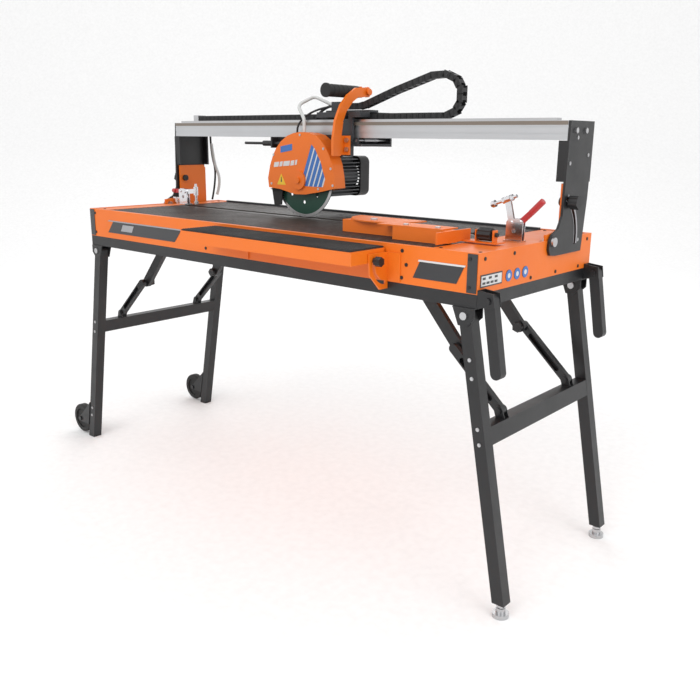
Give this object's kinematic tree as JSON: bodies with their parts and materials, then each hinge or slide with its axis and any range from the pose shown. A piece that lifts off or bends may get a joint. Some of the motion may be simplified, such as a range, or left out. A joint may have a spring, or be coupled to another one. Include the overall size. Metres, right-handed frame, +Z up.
{
  "type": "wet tile saw",
  "caption": "Wet tile saw with a sliding tilting head on an aluminium beam, orange water tray, ribbed table, fold-out side table, toggle clamps and folding legs with transport wheels",
  "frame": {"origin": "middle of the bottom of the bounding box, at floor level", "axes": "X along the cut and the length of the machine (+X is the end with the levelling feet), -Y the operator's side, Z up"},
  "size_m": [1.7836, 0.6576, 1.2055],
  "materials": {
    "aluminium": "brushed",
    "black_paint": "satin",
    "black_plastic": "matte",
    "dark_grey_steel": "satin",
    "green_blade": "satin",
    "hose_clear": "gloss",
    "label_print": "satin",
    "motor_grey": "satin",
    "orange_paint": "satin",
    "red_grip": "gloss",
    "rubber_black": "matte",
    "steel": "brushed",
    "table_coating": "matte"
  },
  "bodies": {
    "base": {"tray_basin": "orange_paint", "tray_trim": "label_print", "frame_rails": "black_paint", "table_top": "table_coating", "table_supports": "dark_grey_steel", "end_platforms": "orange_paint", "drain_plug": "black_plastic", "water_pump": "black_plastic", "bevel_supports": "orange_paint", "leg_brackets": "black_paint", "hinge_pins": "steel", "carry_sockets": "black_paint", "side_table_hinges": "orange_paint", "clamp_bases": "steel"},
    "lock_right": {"bevel_lock_right": "black_plastic"},
    "lock_left": {"bevel_lock_left": "black_plastic"},
    "bridge": {"bridge_post_right": "black_paint", "bridge_post_left": "black_paint", "bridge_beam": "aluminium", "beam_fittings": "steel", "cable_chain": "black_plastic"},
    "carriage": {"carriage_frame": "dark_grey_steel", "carriage_rollers": "steel"},
    "head": {"blade_guard": "orange_paint", "splash_flap": "rubber_black", "head_bracket": "black_paint", "head_screws": "steel", "motor_body": "motor_grey", "fan_cover": "black_plastic", "handle_arm": "orange_paint", "handle_grip": "rubber_black", "water_hose": "hose_clear"},
    "side_lever": {"lock_rod": "black_paint"},
    "blade": {"arbor_shaft": "steel", "saw_blade": "green_blade", "blade_flanges": "steel"},
    "leg_right": {"leg_frame_right": "black_paint"},
    "leg_left": {"leg_frame_left": "black_paint", "wheel_brackets": "black_paint"},
    "upper_right": {"brace_upper_right": "black_paint"},
    "upper_left": {"brace_upper_left": "black_paint"},
    "lower_right": {"brace_lower_right": "black_paint"},
    "lower_left": {"brace_lower_left": "black_paint"},
    "foot_f": {"foot_front": "steel"},
    "foot_r": {"foot_rear": "steel"},
    "wheel_f": {"wheel_front": "rubber_black"},
    "wheel_r": {"wheel_rear": "rubber_black"},
    "carry_f": {"carry_handle_front": "black_paint"},
    "carry_r": {"carry_handle_rear": "black_paint"},
    "flap": {"side_table": "orange_paint", "side_table_mat": "rubber_black"},
    "flap_knob": {"side_table_knob": "black_plastic"},
    "clamp_r": {"clamp_arm_right": "steel"},
    "clamp_l": {"clamp_arm_left": "steel"},
    "lever_r": {"clamp_handle_right": "red_grip"},
    "lever_l": {"clamp_handle_left": "red_grip"},
    "guide": {"guide_carrier": "orange_paint", "guide_scale": "aluminium"},
    "stop_bar": {"guide_bar": "orange_paint"},
    "guide_lock": {"guide_knob": "black_plastic"}
  },
  "joints": [
    {"name": "bevel_tilt", "type": "hinge", "parent": "base", "child": "bridge", "pos_m": [0.04824, 0.09925, 0.805], "axis": [1, 0, 0], "range_deg": [0, 45]},
    {"name": "head_slide", "type": "slide", "parent": "bridge", "child": "carriage", "axis": [1, 0, 0], "range_m": [-0.34, 0.48], "deforming": ["cable_chain"]},
    {"name": "head_plunge", "type": "slide", "parent": "carriage", "child": "head", "axis": [0, 0, 1], "range_m": [-0.01, 0]},
    {"name": "blade_spin", "type": "hinge", "parent": "head", "child": "blade", "pos_m": [-0.01776, 0.09925, 0.922], "axis": [0, 1, 0], "continuous": true},
    {"name": "side_lever_turn", "type": "hinge", "parent": "head", "child": "side_lever", "pos_m": [-0.23876, 0.10725, 1.016], "axis": [1, 0, 0], "range_deg": [-90, 90]},
    {"name": "bevel_lock_right_turn", "type": "hinge", "parent": "base", "child": "lock_right", "pos_m": [0.78324, 0.16836, 0.89314], "axis": [1, 0, 0], "range_deg": [-90, 90]},
    {"name": "bevel_lock_left_turn", "type": "hinge", "parent": "base", "child": "lock_left", "pos_m": [-0.68676, 0.16836, 0.89314], "axis": [1, 0, 0], "range_deg": [-90, 90]},
    {"name": "leg_right_fold", "type": "hinge", "parent": "base", "child": "leg_right", "pos_m": [0.75024, 0.05725, 0.674], "axis": [0, 1, 0], "range_deg": [0, 98]},
    {"name": "leg_left_fold", "type": "hinge", "parent": "base", "child": "leg_left", "pos_m": [-0.65376, 0.05725, 0.674], "axis": [0, -1, 0], "range_deg": [0, 90]},
    {"name": "brace_upper_right_fold", "type": "hinge", "parent": "base", "child": "upper_right", "pos_m": [0.54324, 0.05725, 0.703], "axis": [0, -1, 0], "range_deg": [0, 48.02]},
    {"name": "brace_upper_left_fold", "type": "hinge", "parent": "base", "child": "upper_left", "pos_m": [-0.44676, 0.05725, 0.703], "axis": [0, 1, 0], "range_deg": [0, 44.1]},
    {"name": "brace_lower_right_fold", "type": "hinge", "parent": "leg_right", "child": "lower_right", "pos_m": [0.79124, 0.05725, 0.447], "axis": [0, 1, 0], "range_deg": [0, 35.28]},
    {"name": "brace_lower_left_fold", "type": "hinge", "parent": "leg_left", "child": "lower_left", "pos_m": [-0.69476, 0.05725, 0.447], "axis": [0, -1, 0], "range_deg": [0, 32.4]},
    {"name": "foot_front_height", "type": "slide", "parent": "leg_right", "child": "foot_f", "axis": [0, 0, 1], "range_m": [-0.012, 0]},
    {"name": "foot_rear_height", "type": "slide", "parent": "leg_right", "child": "foot_r", "axis": [0, 0, 1], "range_m": [-0.012, 0]},
    {"name": "wheel_front_spin", "type": "hinge", "parent": "leg_left", "child": "wheel_f", "pos_m": [-0.84176, -0.19275, 0.054], "axis": [0, 1, 0], "continuous": true},
    {"name": "wheel_rear_spin", "type": "hinge", "parent": "leg_left", "child": "wheel_r", "pos_m": [-0.84176, 0.30725, 0.054], "axis": [0, 1, 0], "continuous": true},
    {"name": "carry_handle_front_swing", "type": "hinge", "parent": "base", "child": "carry_f", "pos_m": [0.80424, -0.19225, 0.712], "axis": [0, -1, 0], "range_deg": [0, 80]},
    {"name": "carry_handle_rear_swing", "type": "hinge", "parent": "base", "child": "carry_r", "pos_m": [0.80424, 0.30675, 0.712], "axis": [0, -1, 0], "range_deg": [0, 80]},
    {"name": "side_table_fold", "type": "hinge", "parent": "base", "child": "flap", "pos_m": [0.24074, -0.21425, 0.765], "axis": [1, 0, 0], "range_deg": [0, 90]},
    {"name": "side_table_knob_turn", "type": "hinge", "parent": "flap", "child": "flap_knob", "pos_m": [0.55524, -0.25751, 0.77302], "axis": [1, 0, 0], "range_deg": [-90, 90]},
    {"name": "clamp_right_close", "type": "hinge", "parent": "base", "child": "clamp_r", "pos_m": [0.71624, 0.02725, 0.85], "axis": [0, -1, 0], "range_deg": [0, 70]},
    {"name": "clamp_left_open", "type": "hinge", "parent": "base", "child": "clamp_l", "pos_m": [-0.60376, 0.11725, 0.85], "axis": [0, -1, 0], "range_deg": [0, 70]},
    {"name": "clamp_right_handle", "type": "hinge", "parent": "base", "child": "lever_r", "pos_m": [0.73924, 0.02725, 0.852], "axis": [0, 1, 0], "range_deg": [0, 45]},
    {"name": "clamp_left_handle", "type": "hinge", "parent": "base", "child": "lever_l", "pos_m": [-0.62676, 0.11725, 0.852], "axis": [0, 1, 0], "range_deg": [0, 45]},
    {"name": "guide_slide", "type": "slide", "parent": "base", "child": "guide", "axis": [0, -1, 0], "range_m": [0, 0.03]},
    {"name": "guide_swivel", "type": "hinge", "parent": "guide", "child": "stop_bar", "pos_m": [0.39324, -0.07775, 0.82], "axis": [0, 0, 1], "range_deg": [-30, 30]},
    {"name": "guide_knob_turn", "type": "hinge", "parent": "guide", "child": "guide_lock", "pos_m": [0.70024, -0.05575, 0.829], "axis": [1, 0, 0], "range_deg": [-180, 180]}
  ],
  "couplings": [
    {"joint": "brace_upper_right_fold", "follows": "leg_right_fold", "ratio": 0.49},
    {"joint": "brace_upper_left_fold", "follows": "leg_left_fold", "ratio": 0.49},
    {"joint": "brace_lower_right_fold", "follows": "leg_right_fold", "ratio": 0.36},
    {"joint": "brace_lower_left_fold", "follows": "leg_left_fold", "ratio": 0.36},
    {"joint": "clamp_right_handle", "follows": "clamp_right_close", "ratio": 0.64286},
    {"joint": "clamp_left_handle", "follows": "clamp_left_open", "ratio": 0.64286}
  ]
}
